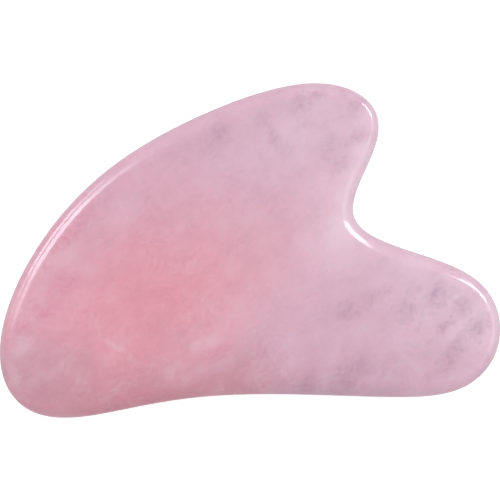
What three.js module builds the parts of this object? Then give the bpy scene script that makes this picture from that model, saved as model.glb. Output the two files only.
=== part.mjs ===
// A gua sha scraper: one flat, palm-sized piece of polished rose quartz, drawn over the skin by
// its rounded edges. It is cut from a single stone, so the group holds a single mesh.
//
// Units are millimetres. The stone lies on its flat back. +X runs from the round toe to the heel
// horn, +Y points to the side of the crown horn and +Z comes out of the face. The origin is under
// the centre of the bounding box, on the plane that the back rests on.

import * as THREE from "three";
import { NURBSCurve } from "three/addons/curves/NURBSCurve.js";

// Driving dimensions.
const LENGTH = 85; // toe to heel horn, along X
const THICKNESS = 6; // back to face, along Z
const RIM_WIDTH = 2.5; // how far the rounding reaches in from the outline
const LAND = 0.4; // upright band left at mid-thickness, between the two roundings

// Fineness of the faceted surface.
const STEPS_PER_POINT = 10; // outline steps for each control point
const RIM_STEPS = 6; // steps over each rounding, from the flat face to the land

const POLISHED_STONE = { color: 0xdaa9b9, roughness: 0.12, metalness: 0 };

// Control points of the outline, a closed cubic B-spline, as x and y. They run clockwise, seen
// from +Z, and the finished outline is scaled to LENGTH.
const CROWN_HORN = [[10.5, 30.05], [21.75, 26], [22.75, 18]];
const JAW_NOTCH = [[14, 4.5], [27, -0.25]];
const HEEL_HORN = [[41, -4.4], [44, -16], [37, -25.15]];
const HOLLOW_EDGE = [[22, -25.15], [-9.5, -23.7]];
const TOE = [[-29.6, -29.65], [-40.2, -27.5], [-44, -17]];
const BOWED_EDGE = [[-38.35, -1.4], [-26.35, 13.35], [-9, 23.25]];
const CONTROL_POINTS = [
  ...CROWN_HORN,
  ...JAW_NOTCH,
  ...HEEL_HORN,
  ...HOLLOW_EDGE,
  ...TOE,
  ...BOWED_EDGE,
];

// The closed, evenly knotted B-spline of the given control points. The first few points are
// repeated at the end, and only the knots between the overlaps are used, so that it closes smoothly.
function closedSpline(points, degree = 3) {
  const wrapped = [...points, ...points.slice(0, degree)];
  const controls = wrapped.map(([x, y]) => new THREE.Vector3(x, y, 0));
  const knots = Array.from({ length: controls.length + degree + 1 }, (_, i) => i);
  return new NURBSCurve(degree, knots, controls, degree, controls.length);
}

// The outline as a shape centred on the origin and LENGTH long.
function outline() {
  const spline = closedSpline(CONTROL_POINTS);
  const points = spline.getPoints(CONTROL_POINTS.length * STEPS_PER_POINT).slice(0, -1);
  const box = new THREE.Box3().setFromPoints(points);
  const centre = box.getCenter(new THREE.Vector3());
  const scale = LENGTH / (box.max.x - box.min.x);
  return new THREE.Shape(points.map((p) => p.sub(centre).multiplyScalar(scale)));
}

// The whole stone: a flat slab whose outline is rounded over from both sides, each rounding a
// quarter of an ellipse.
function scraperStone() {
  const rimHeight = (THICKNESS - LAND) / 2;
  const geometry = new THREE.ExtrudeGeometry(outline(), {
    depth: LAND,
    bevelThickness: rimHeight,
    bevelSize: RIM_WIDTH,
    bevelOffset: -RIM_WIDTH,
    bevelSegments: RIM_STEPS,
  });
  const mesh = new THREE.Mesh(geometry, new THREE.MeshStandardMaterial(POLISHED_STONE));
  mesh.name = "scraper_stone";
  mesh.position.z = rimHeight;
  return mesh;
}

const scraper = new THREE.Group();
scraper.add(scraperStone());

export default scraper;
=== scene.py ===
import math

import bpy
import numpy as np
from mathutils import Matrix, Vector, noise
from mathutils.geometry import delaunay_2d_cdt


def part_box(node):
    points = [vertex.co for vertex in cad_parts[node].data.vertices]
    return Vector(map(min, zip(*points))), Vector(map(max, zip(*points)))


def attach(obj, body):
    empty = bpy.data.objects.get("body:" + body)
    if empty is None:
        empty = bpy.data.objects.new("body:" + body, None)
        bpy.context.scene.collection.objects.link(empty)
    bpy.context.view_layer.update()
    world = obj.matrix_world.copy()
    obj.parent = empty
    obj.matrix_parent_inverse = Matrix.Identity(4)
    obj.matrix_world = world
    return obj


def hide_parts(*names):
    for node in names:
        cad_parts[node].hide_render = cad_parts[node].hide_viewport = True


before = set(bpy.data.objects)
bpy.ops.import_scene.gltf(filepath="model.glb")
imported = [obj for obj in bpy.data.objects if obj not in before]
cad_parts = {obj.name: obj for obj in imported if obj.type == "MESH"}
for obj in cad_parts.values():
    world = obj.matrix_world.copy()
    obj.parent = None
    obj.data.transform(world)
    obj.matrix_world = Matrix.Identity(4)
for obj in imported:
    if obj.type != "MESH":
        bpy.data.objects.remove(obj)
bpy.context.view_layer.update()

# A gua sha scraper of polished rose quartz, lying flat on a white table and seen from straight above.
# The outline and the sizes come from the CAD stone. This script gives the stone its fine rounded
# surface, its clouded and veined quartz, and the light of a small studio. Shapes are in metres, and
# the marks in the quartz are in millimetres.

MM = 0.001
STONE_NODE = "scraper_stone"
LOW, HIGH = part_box(STONE_NODE)
CENTRE = (LOW + HIGH) / 2
LENGTH = HIGH.x - LOW.x
THICKNESS = HIGH.z - LOW.z

# The stone's fine surface.
LAND = 0.4 * MM  # upright band left at mid-thickness, between the two roundings of the rim
OUTLINE_DIGITS = 7  # decimals of a metre to which two points of the CAD outline count as one
OUTLINE_SPLITS = 3  # fine outline steps for each step of the CAD outline
OUTLINE_WAVES = 40  # how many of the outline's slowest waves are kept, each way round
RIM_STEPS = 14  # steps over each rounding of the rim
RIM_WIDTH = 3.2 * MM  # how far the rounding reaches in from a straight stretch of outline
RIM_PER_BEND = 13 * MM * MM  # how much narrower the rim is ground where the outline bends outwards
RIM_RANGE = (1.5 * MM, 3.4 * MM)  # the narrowest and widest rim
RIM_EVENING = 60  # rounds of averaging that let the rim's width change only slowly
FACE_STEP = 1.0 * MM  # spacing of the points on the flat faces
FACE_MARGIN = 0.6 * FACE_STEP  # how far those points stay from the rim
SWELL_HEIGHT = 0.04 * MM  # height of the slow waves that hand polishing leaves on the face
SWELL_LENGTH = 16 * MM
SWELL_FADE = 6 * MM  # the waves fade out over this distance from the rim
INSIDE_ONLY = 1  # asks the triangulation for the triangles inside the ring
SAME_POINT = 1e-9  # points nearer than this are one to the triangulation

# The quartz's patterns: the size of each noise's lumps in millimetres, and how fine and rough it is.
GRAIN_TURN = 34  # the veins and fibres lie along this direction, in degrees from +X
GRAIN_STRETCH = (1.3, 1, 1.2)  # how far the mottle is drawn out along the grain, across it and down
FIBRE_STRETCH = (1.5, 1, 1.5)
DRIFT = {"size": 9, "detail": 3}
DRIFT_REACH = 9  # the soft patches are pushed about by up to half of this, each way
CRINKLE = {"size": 1.6, "detail": 3}
CRINKLE_REACH = 2.4  # and the small marks by up to half of this
MOTTLE = {"size": 3.8, "detail": 5, "roughness": 0.6}
FIBRES = {"size": 0.8, "detail": 4, "roughness": 0.75}
FIBRE_PATCHES = {"size": 6, "detail": 1}
SPECKS = {"size": 1.9, "detail": 2}
RIPPLES = {"size": 6, "detail": 1}

# How strongly they show. Each is the value where the change starts, the value where it ends, and
# the strengths that belong to the two.
MOTTLE_MILKY = (0.47, 0.72, 0.0, 0.30)
MOTTLE_SMOKY = (0.53, 0.28, 0.0, 0.28)
MOTTLE_BY_PLACE = (0.0, 1.0, 0.45, 1.0)
FIBRES_MILKY = (0.50, 0.80, 0.0, 0.28)
FIBRES_SMOKY = (0.50, 0.20, 0.0, 0.28)
FIBRES_BY_PLACE = (0.35, 0.65, 0.4, 1.0)
SPECKS_SMOKY = (0.50, 0.66, 0.0, 0.35)
MARKS_BY_FIBRE = (0.35, 0.6, 1.0, 0.45)  # stains and flecks are broken up by the pale fibres
PAINTED_SHEEN_BY_FACING = (0.5, 0.0, 0.0, 0.45)  # painted sheen on the rim, by how far the surface faces up or down
ROUGHNESS_BY_MOTTLE = (0.3, 0.7, 0.13, 0.18)
STAIN_STRENGTH = 0.55
FLECK_STRENGTH = 0.65
VEIL_STRENGTH = 0.33

# Colours, as the 0 to 255 values that a screen shows.
BASE_COLOUR = (216, 177, 195)
STAIN_COLOUR = (214, 128, 158)
SMOKE_COLOUR = (204, 189, 201)  # flecks and smoky places let this much of the light through
VEIL_COLOUR = (236, 211, 227)
PAINTED_SHEEN_COLOUR = (232, 204, 216)  # painted sheen: paler on the upright rim, for the pale reflection and the light let through where the stone is thin

# The marks in the quartz. Each is an oval patch through the whole thickness: centre,
# half length and half width, turn in degrees, and strength in its middle.
PATCH_DEPTH = 1000  # half depth of every patch, so that it goes right through the stone
# Some of these clouds are painted light: painted shade along the hollow edge and at the toe, a painted glow
# by the notch and a painted highlight at the heel tip.
CLOUDS = [
    ((228, 160, 176), [((-22, -9), 48, 29, 28, 0.85)]),  # warm rose over the toe and the middle
    ((227, 149, 161), [((-15, -10), 28, 14, 30, 0.55)]),  # salmon core
    ((224, 150, 154), [((-12.5, -8), 9, 7, 30, 0.2)]),  # orange heart of the core
    ((229, 182, 196), [((4, 0), 26, 16, 48, 0.35)]),  # rose reaching towards the notch
    ((238, 211, 224), [((17, 6), 17, 12, 65, 0.75), ((21, 20), 14, 8, 75, 0.75)]),  # milky by the notch: partly milky quartz, partly a painted glow beside the notch highlight
    ((224, 194, 212), [((12, 21), 27, 15, 22, 0.6)]),  # lilac crown horn
    ((230, 202, 218), [((35, -8), 26, 15, -30, 0.75)]),  # lilac heel horn
    ((236, 211, 224), [((41, -12), 9, 7, 100, 0.6)]),  # paler heel tip: a painted highlight where the rim catches the light
    ((200, 154, 170), [((-38, -22), 16, 12, 0, 0.75)]),  # duller toe: partly the stone's tone, partly painted shade on the side away from the light
    ((198, 134, 146), [((-14, -27), 48, 14, 3, 0.9)]),  # darker along the hollow edge: partly the stone's tone, partly painted shade on the side away from the light
    ((192, 161, 182), [((16, -26), 22, 9, 0, 0.6)]),  # greyer along it towards the heel horn: partly the stone's tone, partly painted shade
]
MOTTLED_PLACES = [((16, 22), 26, 16, 30, 1.0), ((32, -11), 24, 18, -20, 1.0)]  # both horns
SPECKLED_PLACES = [((33, -12), 16, 11, -20, 1.0), ((10, 25), 14, 6, 15, 0.5)]  # within the horns
STAINS = [
    ((-30.8, 2.8), 5, 3, 55, 0.9),
    ((-27.4, 6), 4, 2.5, 60, 0.8),
    ((-18.7, 2), 6, 3.5, 40, 0.3),
    ((-31, -5.6), 5, 3.4, 30, 0.8),
    ((-34, -10.6), 4.5, 2.6, 30, 0.9),
    ((-38, -13), 3, 2.5, 60, 0.5),
    ((-24.6, -22), 5, 3, 10, 0.5),
    ((-5, -17), 6, 1.8, 25, 0.8),
    ((-19.5, -24.5), 5, 2.5, 5, 0.5),
    ((34, -3.3), 3, 2, -20, 0.3),
]
FLECKS = [
    ((31.3, -7.7), 4.6, 2.1, 35, 1.0),
    ((33, -12.7), 2.8, 1.4, 35, 0.9),
    ((38.4, -13.5), 3.4, 1.6, 28, 0.9),
    ((35.7, -9.5), 3, 2, 40, 0.45),
    ((40.3, -11.3), 1.9, 1.3, 70, 0.6),
    ((35, -16.5), 3, 2.2, 30, 0.5),
    ((33, -19.3), 3, 2.6, 40, 0.5),
    ((26.5, -9.8), 3.2, 2.4, 30, 0.5),
    ((21.5, -7.5), 4, 2, 30, 0.5),
    ((16.5, -10.2), 3, 2.4, 60, 0.6),
    ((16.5, -21), 6.5, 4, 35, 0.55),
    ((9.5, -22.9), 3.5, 2.2, 20, 0.4),
    ((2, -17), 3, 2, 30, 0.3),
    ((8.4, 24.4), 3.6, 2.6, 45, 0.6),
    ((11.2, 26.4), 2.6, 1.6, 20, 0.6),
    ((18.2, 19.2), 2.8, 1.8, 10, 0.7),
    ((18, 24.8), 2, 1.6, 0, 0.4),
    ((4, 18.8), 3.4, 1.6, 110, 0.6),
    ((1.8, 22.2), 2.6, 1.8, 60, 0.55),
    ((-5.6, 19.1), 4.8, 3.8, 50, 0.6),
    ((15.6, 15), 3.6, 2.6, 60, 0.5),
]
VEILS = [
    ((-23, -16), 4.2, 0.8, -30, 0.6),
    ((-19.8, -18.6), 2.6, 1.2, -40, 0.3),
    ((-9.5, -16.3), 2, 1.4, 60, 0.5),
    ((-6.6, -15.4), 3, 1.8, 20, 0.6),
    ((-13.8, -20.3), 3, 2.2, 30, 0.5),
    ((27, -18.8), 5, 1.3, -38, 0.5),
    ((-38.4, -16), 3.4, 2.6, 60, 0.8),
    ((-40, -21), 4, 1.6, 110, 0.5),
    ((-30.8, -1), 5, 3.4, 50, 0.45),
    ((-20.3, 7.5), 5, 3.5, 30, 0.5),
    ((9.3, 26), 1.8, 0.6, -35, 0.7),
    ((16, 8), 6, 2.4, 80, 0.9),
    ((15.4, 3.6), 4, 2.2, -40, 0.8),
    ((19.8, 22.4), 3.4, 2.2, -50, 1.0),
    ((33.5, -15), 5, 1, 30, 0.5),
    ((22, -13), 5, 2.4, 30, 0.3),
    ((39.6, -18), 2.4, 0.5, 65, 0.8),
]

# The studio.
WHITE = (1, 1, 1, 1)
TABLE_SIZE = 6.0
TABLE_GAP = 0.02 * MM  # how far the table lies below the stone, so that the two don't touch
TABLE_COLOUR = (0.72, 0.72, 0.72, 1)
TABLE_GLOW = 0.58  # the table's own light, which only the camera sees and which makes it white
ROOM_LIGHT = (0.83, 1.17)  # the room's brightness on its -Y and on its +Y side
LENS = 180  # focal length in millimetres
CAMERA_RISE = 0.08 * MM  # how far the camera is moved towards +Y, which lowers the stone in the picture
WINDOW_PANES = [(14, 0.085), (43, 0.17)]  # elevation and height of the panes below and above the bar
DAYLIGHT = (0.86, 1.0, 1.04)
LAMPLIGHT = (1, 1, 1)


# ---------------------------------------------------------------------------------------------
# Shape


def cad_outline():
    """The CAD stone's outline at mid-thickness, as points in anticlockwise order round the origin."""
    vertices = np.array([vertex.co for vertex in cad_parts[STONE_NODE].data.vertices])
    near_middle = np.abs(vertices[:, 2] - CENTRE.z) < LAND
    ring = np.unique(np.round(vertices[near_middle, :2], OUTLINE_DIGITS), axis=0)
    return ring[np.argsort(np.arctan2(ring[:, 1], ring[:, 0]))]


def refined(points):
    """A closed ring with more points, made of its slow waves alone so that it has no kinks."""
    spectrum = np.fft.fft(points[:, 0] + 1j * points[:, 1])
    padded = np.zeros(len(points) * OUTLINE_SPLITS, complex)
    padded[:OUTLINE_WAVES] = spectrum[:OUTLINE_WAVES]
    padded[-OUTLINE_WAVES:] = spectrum[-OUTLINE_WAVES:]
    ring = np.fft.ifft(padded) * OUTLINE_SPLITS
    return np.stack([ring.real, ring.imag], axis=1)


def smoothed(values, rounds):
    """A closed ring of values, with each averaged with its neighbours a number of times."""
    for _ in range(rounds):
        values = (np.roll(values, 1) + 2 * values + np.roll(values, -1)) / 4
    return values


def inward_and_bend(ring):
    """The inward normals of an anticlockwise ring, and how sharply it bends outwards, per metre."""
    ahead = np.roll(ring, -1, axis=0) - ring
    along = ahead + np.roll(ahead, 1, axis=0)
    along /= np.linalg.norm(along, axis=1)[:, None]
    inward = np.stack([-along[:, 1], along[:, 0]], axis=1)
    heading = np.unwrap(np.arctan2(ahead[:, 1], ahead[:, 0]))
    turn = heading - np.roll(heading, 1)
    turn[0] += 2 * math.pi  # the heading has gone once round by the time the ring closes
    return inward, turn / np.linalg.norm(ahead, axis=1)


def inside(points, ring):
    """Which points lie inside a closed ring, by counting the ring's edges to the right of each."""
    x, y = points[:, 0][:, None], points[:, 1][:, None]
    start, end = ring, np.roll(ring, -1, axis=0)
    spans = (start[:, 1] > y) != (end[:, 1] > y)
    rise = np.where(end[:, 1] == start[:, 1], 1, end[:, 1] - start[:, 1])  # a level edge spans no point
    crossing = start[:, 0] + (y - start[:, 1]) * (end[:, 0] - start[:, 0]) / rise
    return (spans & (x < crossing)).sum(axis=1) % 2 == 1


def face_points(ring):
    """Points of a triangular grid well inside a ring, with each one's distance from the ring."""
    row_step = FACE_STEP * math.sqrt(3) / 2
    columns = np.arange(LOW.x, HIGH.x, FACE_STEP)
    rows = np.arange(LOW.y, HIGH.y, row_step)
    grid = np.array([(x + (i % 2) * FACE_STEP / 2, y) for i, y in enumerate(rows) for x in columns])
    grid = grid[inside(grid, ring)]
    distance = np.linalg.norm(grid[:, None] - ring[None], axis=2).min(axis=1)
    kept = distance > FACE_MARGIN
    return grid[kept], distance[kept]


def face_triangles(ring, grid):
    """Triangles that fill a ring, by the numbers of its points and then of the points inside it."""
    points = [Vector(point) for point in np.concatenate([ring, grid])]
    edges = [(i, (i + 1) % len(ring)) for i in range(len(ring))]
    return delaunay_2d_cdt(points, edges, [], INSIDE_ONLY, SAME_POINT)[2]


def swell(x, y, distance):
    """The height of the hand-polished face at a point, from 0 down to a dip of SWELL_HEIGHT."""
    fade = min(distance / SWELL_FADE, 1)
    fade = fade * fade * (3 - 2 * fade)
    wave = noise.noise(Vector((x, y, 0)) / SWELL_LENGTH)
    return SWELL_HEIGHT * fade * (wave - 1) / 2


def rim_levels():
    """The rim's rings from face to back: how far in each lies, as a part of the rim, and its height."""
    rounding = (THICKNESS - LAND) / 2
    angles = np.linspace(0, math.pi / 2, RIM_STEPS + 1)
    upper = [(1 - math.sin(angle), LAND / 2 + rounding * math.cos(angle)) for angle in angles]
    lower = [(inset, -height) for inset, height in reversed(upper)]
    return upper + lower


def rim_surface(outline):
    """Rings of points down over the rim, and the faces that join each ring to the next."""
    inward, bend = inward_and_bend(outline)
    width = np.clip(RIM_WIDTH - RIM_PER_BEND * smoothed(bend, RIM_EVENING), *RIM_RANGE)
    levels = rim_levels()
    vertices = []
    for inset, height in levels:
        ring = outline + inward * (width * inset)[:, None]
        vertices += [(x, y, CENTRE.z + height) for x, y in ring]
    count = len(outline)
    faces = []
    for level in range(len(levels) - 1):
        upper, lower = level * count, (level + 1) * count
        for i in range(count):
            after = (i + 1) % count
            faces.append((upper + i, lower + i, lower + after, upper + after))
    return vertices, faces


def stone_mesh():
    """The stone as one closed mesh: rings down over the rim, and a triangulated face and back."""
    outline = refined(cad_outline())
    count = len(outline)
    vertices, faces = rim_surface(outline)
    back_ring = len(vertices) - count

    face_ring = np.array(vertices[:count])[:, :2]
    grid, distance = face_points(face_ring)
    face_start = len(vertices)
    vertices += [(x, y, HIGH.z + swell(x, y, d)) for (x, y), d in zip(grid, distance)]
    back_start = len(vertices)
    vertices += [(x, y, LOW.z) for x, y in grid]
    for triangle in face_triangles(face_ring, grid):
        faces.append([i if i < count else i - count + face_start for i in triangle])
        back = [i + back_ring if i < count else i - count + back_start for i in triangle]
        faces.append(back[::-1])

    mesh = bpy.data.meshes.new("rose_quartz_scraper")
    mesh.from_pydata(vertices, [], faces)
    mesh.validate()
    mesh.shade_smooth()
    return mesh


# ---------------------------------------------------------------------------------------------
# Materials


def srgb(red, green, blue):
    """A colour given as the 0 to 255 values that a screen shows, as linear RGBA, by the sRGB rule."""
    values = [value / 255 for value in (red, green, blue)]
    return [v / 12.92 if v <= 0.04045 else ((v + 0.055) / 1.055) ** 2.4 for v in values] + [1]


class Graph:
    """Short calls that add joined nodes to one node tree."""

    def __init__(self, tree):
        self.tree = tree
        tree.nodes.clear()

    def add(self, kind, inputs=None, **settings):
        """A node of this kind, with its settings, and with its inputs given values or joined."""
        node = self.tree.nodes.new(kind)
        for name, value in settings.items():
            setattr(node, name, value)
        for name, value in (inputs or {}).items():
            if isinstance(value, bpy.types.NodeSocket):
                self.tree.links.new(value, node.inputs[name])
            else:
                node.inputs[name].default_value = value
        return node

    def math(self, operation, *values):
        """One maths step on numbers or sockets."""
        inputs = dict(enumerate(values))
        return self.add("ShaderNodeMath", inputs, operation=operation).outputs[0]

    def ramp(self, value, start, end, low=0.0, high=1.0):
        """The value's place between start and end, eased, as a number between low and high."""
        inputs = {"Value": value, "From Min": start, "From Max": end, "To Min": low, "To Max": high}
        return self.add("ShaderNodeMapRange", inputs, interpolation_type="SMOOTHSTEP").outputs[0]

    def mix(self, factor, first, second, blend="MIX"):
        """Two colours mixed by a factor. The Mix node's colours are its inputs 6 and 7 and its output 2."""
        inputs = {0: factor, 6: first, 7: second}
        return self.add("ShaderNodeMix", inputs, data_type="RGBA", blend_type=blend).outputs[2]

    def vector(self, operation, *values, output=0, **named):
        """One maths step on vectors."""
        inputs = {**dict(enumerate(values)), **named}
        return self.add("ShaderNodeVectorMath", inputs, operation=operation).outputs[output]

    def noise(self, place, size, detail=2.0, roughness=0.5, output="Fac"):
        """Cloudy noise round 0.5, with lumps of this size in the units of place."""
        inputs = {"Vector": place, "Scale": 1 / size, "Detail": detail, "Roughness": roughness}
        return self.add("ShaderNodeTexNoise", inputs, noise_dimensions="3D").outputs[output]

    def turned(self, place, centre, turn, size):
        """The place measured from a centre along axes turned about Z, in multiples of size."""
        inputs = {
            "Vector": place,
            "Location": (*centre, 0),
            "Rotation": (0, 0, math.radians(turn)),
            "Scale": size,
        }
        return self.add("ShaderNodeMapping", inputs, vector_type="TEXTURE").outputs[0]

    def stirred(self, place, field, pattern, reach):
        """The place pushed about by a noise in some field, by up to half of reach each way."""
        push = self.noise(field, output="Color", **pattern)
        push = self.vector("MULTIPLY_ADD", push, (reach,) * 3, (-reach / 2,) * 3)
        return self.vector("ADD", place, push)

    def spot(self, place, centre, along, across, turn):
        """1 at the middle of an oval patch, easing to 0 at its edge, through the whole thickness."""
        local = self.turned(place, centre, turn, (along, across, PATCH_DEPTH))
        return self.ramp(self.vector("LENGTH", local, output="Value"), 1.0, 0.0)

    def spots(self, place, patches):
        """Several oval patches, each with its strength, as one factor."""
        total = 0.0
        for centre, along, across, turn, strength in patches:
            spot = self.spot(place, centre, along, across, turn)
            total = self.math("MULTIPLY_ADD", spot, strength, total)
        return self.math("MINIMUM", total, 1.0)

    def end_in(self, kind, shader):
        """Joins a shader to the tree's output node."""
        output = self.add(kind)
        self.tree.links.new(shader.outputs[0], output.inputs["Surface"])


def clouded(graph, drifting):
    """The stone's broad soft clouds of colour, with painted shade in those along the hollow edge and toe, a
    painted glow by the notch and a painted highlight at the heel tip.
    """
    colour = srgb(*BASE_COLOUR)
    for tint, patches in CLOUDS:
        colour = graph.mix(graph.spots(drifting, patches), colour, srgb(*tint))
    return colour


def milky_and_smoky(graph, colour, pattern, milky, smoky, strength):
    """The colour made milkier where a pattern is high, and smokier where it is low."""
    pale = graph.math("MULTIPLY", graph.ramp(pattern, *milky), strength)
    dark = graph.math("MULTIPLY", graph.ramp(pattern, *smoky), strength)
    colour = graph.mix(pale, colour, srgb(*VEIL_COLOUR))
    return graph.mix(dark, colour, srgb(*SMOKE_COLOUR), "MULTIPLY")


def speckled(graph, colour, grain, drifting):
    """The colour with fine dark specks in the horns."""
    specks = graph.ramp(graph.noise(grain, **SPECKS), *SPECKS_SMOKY)
    specks = graph.math("MULTIPLY", specks, graph.spots(drifting, SPECKLED_PLACES))
    return graph.mix(specks, colour, srgb(*SMOKE_COLOUR), "MULTIPLY")


def marked(graph, colour, fibres, ragged):
    """The colour with its rose stains, smoky flecks and milky veils."""
    broken = graph.ramp(fibres, *MARKS_BY_FIBRE)
    stains = graph.math("MULTIPLY", graph.spots(ragged, STAINS), broken)
    stains = graph.math("MULTIPLY", stains, STAIN_STRENGTH)
    colour = graph.mix(stains, colour, srgb(*STAIN_COLOUR))
    flecks = graph.math("MULTIPLY", graph.spots(ragged, FLECKS), broken)
    flecks = graph.math("MULTIPLY", flecks, FLECK_STRENGTH)
    colour = graph.mix(flecks, colour, srgb(*SMOKE_COLOUR), "MULTIPLY")
    veils = graph.math("MULTIPLY", graph.spots(ragged, VEILS), VEIL_STRENGTH)
    return graph.mix(veils, colour, srgb(*VEIL_COLOUR))


def painted_sheen_on_the_rim(graph, colour):
    """The colour made paler where the surface stands nearly upright: a painted sheen for the rim's pale
    reflection and the light let through where the stone is thin.
    """
    normal = graph.add("ShaderNodeNewGeometry").outputs["Normal"]
    facing = graph.math("ABSOLUTE", graph.add("ShaderNodeSeparateXYZ", {0: normal}).outputs["Z"])
    return graph.mix(graph.ramp(facing, *PAINTED_SHEEN_BY_FACING), colour, srgb(*PAINTED_SHEEN_COLOUR))


def quartz_colour(graph, place, grain, mottle):
    """The stone's colour: clouds, some with painted shade and painted glow, then mottling, fibres, specks
    and single marks over them, and last a painted sheen on the upright rim.
    """
    drifting = graph.stirred(place, place, DRIFT, DRIFT_REACH)
    ragged = graph.stirred(place, grain, CRINKLE, CRINKLE_REACH)
    fibres = graph.noise(graph.turned(drifting, (0, 0), GRAIN_TURN, FIBRE_STRETCH), **FIBRES)
    busy = graph.ramp(graph.spots(drifting, MOTTLED_PLACES), *MOTTLE_BY_PLACE)
    patchy = graph.ramp(graph.noise(place, **FIBRE_PATCHES), *FIBRES_BY_PLACE)
    colour = clouded(graph, drifting)
    colour = milky_and_smoky(graph, colour, mottle, MOTTLE_MILKY, MOTTLE_SMOKY, busy)
    colour = milky_and_smoky(graph, colour, fibres, FIBRES_MILKY, FIBRES_SMOKY, patchy)
    colour = speckled(graph, colour, grain, drifting)
    colour = marked(graph, colour, fibres, ragged)
    # Painted sheen: the upright rim is made paler, for its pale reflection and the light let through at the
    # thin edge.
    return painted_sheen_on_the_rim(graph, colour)


def stone_material():
    """Polished rose quartz: milky and slightly translucent, with a glassy skin."""
    material = bpy.data.materials.new("rose_quartz")
    material.use_nodes = True
    graph = Graph(material.node_tree)
    coordinates = graph.add("ShaderNodeTexCoord").outputs["Object"]
    place = graph.vector("SCALE", coordinates, Scale=1 / MM)
    grain = graph.turned(place, (0, 0), GRAIN_TURN, GRAIN_STRETCH)
    mottle = graph.noise(grain, **MOTTLE)
    ripples = graph.noise(place, **RIPPLES)
    bump = graph.add("ShaderNodeBump", {"Strength": 0.15, "Distance": 0.02 * MM, "Height": ripples})
    shader = graph.add(
        "ShaderNodeBsdfPrincipled",
        {
            "Base Color": quartz_colour(graph, place, grain, mottle),
            "Roughness": graph.ramp(mottle, *ROUGHNESS_BY_MOTTLE),
            "IOR": 1.544,
            "Subsurface Weight": 0.7,
            "Subsurface Radius": (1.0, 0.45, 0.55),
            "Subsurface Scale": 2.0 * MM,
            "Normal": bump.outputs[0],
        },
    )
    graph.end_in("ShaderNodeOutputMaterial", shader)
    return material


def table_material():
    """A plain table top that the picture shows as pure white, as a light table would be."""
    material = bpy.data.materials.new("white_table")
    material.use_nodes = True
    graph = Graph(material.node_tree)
    seen = graph.add("ShaderNodeLightPath").outputs["Is Camera Ray"]
    shader = graph.add(
        "ShaderNodeBsdfPrincipled",
        {
            "Base Color": TABLE_COLOUR,
            "Roughness": 0.9,
            "Specular IOR Level": 0.0,
            "Emission Color": WHITE,
            "Emission Strength": graph.math("MULTIPLY", seen, TABLE_GLOW),
        },
    )
    graph.end_in("ShaderNodeOutputMaterial", shader)
    return material


# ---------------------------------------------------------------------------------------------
# Studio


def add_object(name, data):
    """A new object with this mesh, light or camera, in the scene."""
    thing = bpy.data.objects.new(name, data)
    bpy.context.scene.collection.objects.link(thing)
    return thing


def add_stone():
    """The polished stone, in the place of the CAD one."""
    mesh = stone_mesh()
    mesh.materials.append(stone_material())
    stone = add_object("rose_quartz_scraper", mesh)
    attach(stone, "root")
    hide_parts(STONE_NODE)


def add_table():
    """The table that the stone lies on."""
    half = TABLE_SIZE / 2
    corners = [(-half, -half, 0), (half, -half, 0), (half, half, 0), (-half, half, 0)]
    mesh = bpy.data.meshes.new("table")
    mesh.from_pydata(corners, [], [(0, 1, 2, 3)])
    mesh.materials.append(table_material())
    table = add_object("table", mesh)
    table.location.z = LOW.z - TABLE_GAP


def add_camera():
    """Looking straight down, with the stone filling the width and lying a hair below the middle."""
    data = bpy.data.cameras.new("camera")
    data.lens = LENS
    camera = add_object("camera", data)
    distance = LENGTH * LENS / data.sensor_width
    camera.location = CENTRE + Vector((0, CAMERA_RISE, distance))
    bpy.context.scene.camera = camera


def add_room_light():
    """Soft light from all round, stronger from the +Y side, in a room that the camera sees as white."""
    world = bpy.data.worlds.new("studio")
    bpy.context.scene.world = world
    world.use_nodes = True
    graph = Graph(world.node_tree)
    direction = graph.add("ShaderNodeTexCoord").outputs["Generated"]
    side = graph.add("ShaderNodeSeparateXYZ", {0: direction}).outputs["Y"]
    light = graph.ramp(side, -1.0, 1.0, *ROOM_LIGHT)
    seen = graph.add("ShaderNodeLightPath").outputs["Is Camera Ray"]
    strength = graph.math("MAXIMUM", light, seen)
    background = graph.add("ShaderNodeBackground", {"Color": WHITE, "Strength": strength})
    graph.end_in("ShaderNodeOutputWorld", background)


def add_softbox(name, azimuth, elevation, distance, width, height, radiance, colour=LAMPLIGHT):
    """A rectangular light that only shows in the polish, aimed at the stone, as bright as radiance."""
    light = bpy.data.lights.new(name, "AREA")
    light.shape = "RECTANGLE"
    light.size = width
    light.size_y = height
    light.energy = radiance * math.pi * width * height
    light.color = colour
    turn, rise = math.radians(azimuth), math.radians(elevation)
    towards = Vector((math.cos(turn) * math.cos(rise), math.sin(turn) * math.cos(rise), math.sin(rise)))
    softbox = add_object(name, light)
    softbox.location = CENTRE + towards * distance
    softbox.rotation_euler = towards.to_track_quat("Z", "Y").to_euler()
    softbox.visible_diffuse = False


def add_softboxes():
    """A two-paned window beyond the bowed edge, brighter in its middle, and a lamp and fill by the horns."""
    for elevation, height in WINDOW_PANES:
        pane = {"elevation": elevation, "height": height, "colour": DAYLIGHT}
        add_softbox("window_pane", azimuth=150, distance=0.40, width=0.24, radiance=3.1, **pane)
        add_softbox("window_pane_middle", azimuth=149, distance=0.39, width=0.10, radiance=5.0, **pane)
    add_softbox("lamp", azimuth=38, elevation=35, distance=0.40, width=0.19, height=0.17, radiance=11.5)
    add_softbox("fill", azimuth=-3, elevation=31, distance=0.45, width=0.30, height=0.22, radiance=1.2)


add_stone()
add_table()
add_camera()
add_room_light()
add_softboxes()
bpy.context.scene.view_settings.view_transform = "Standard"
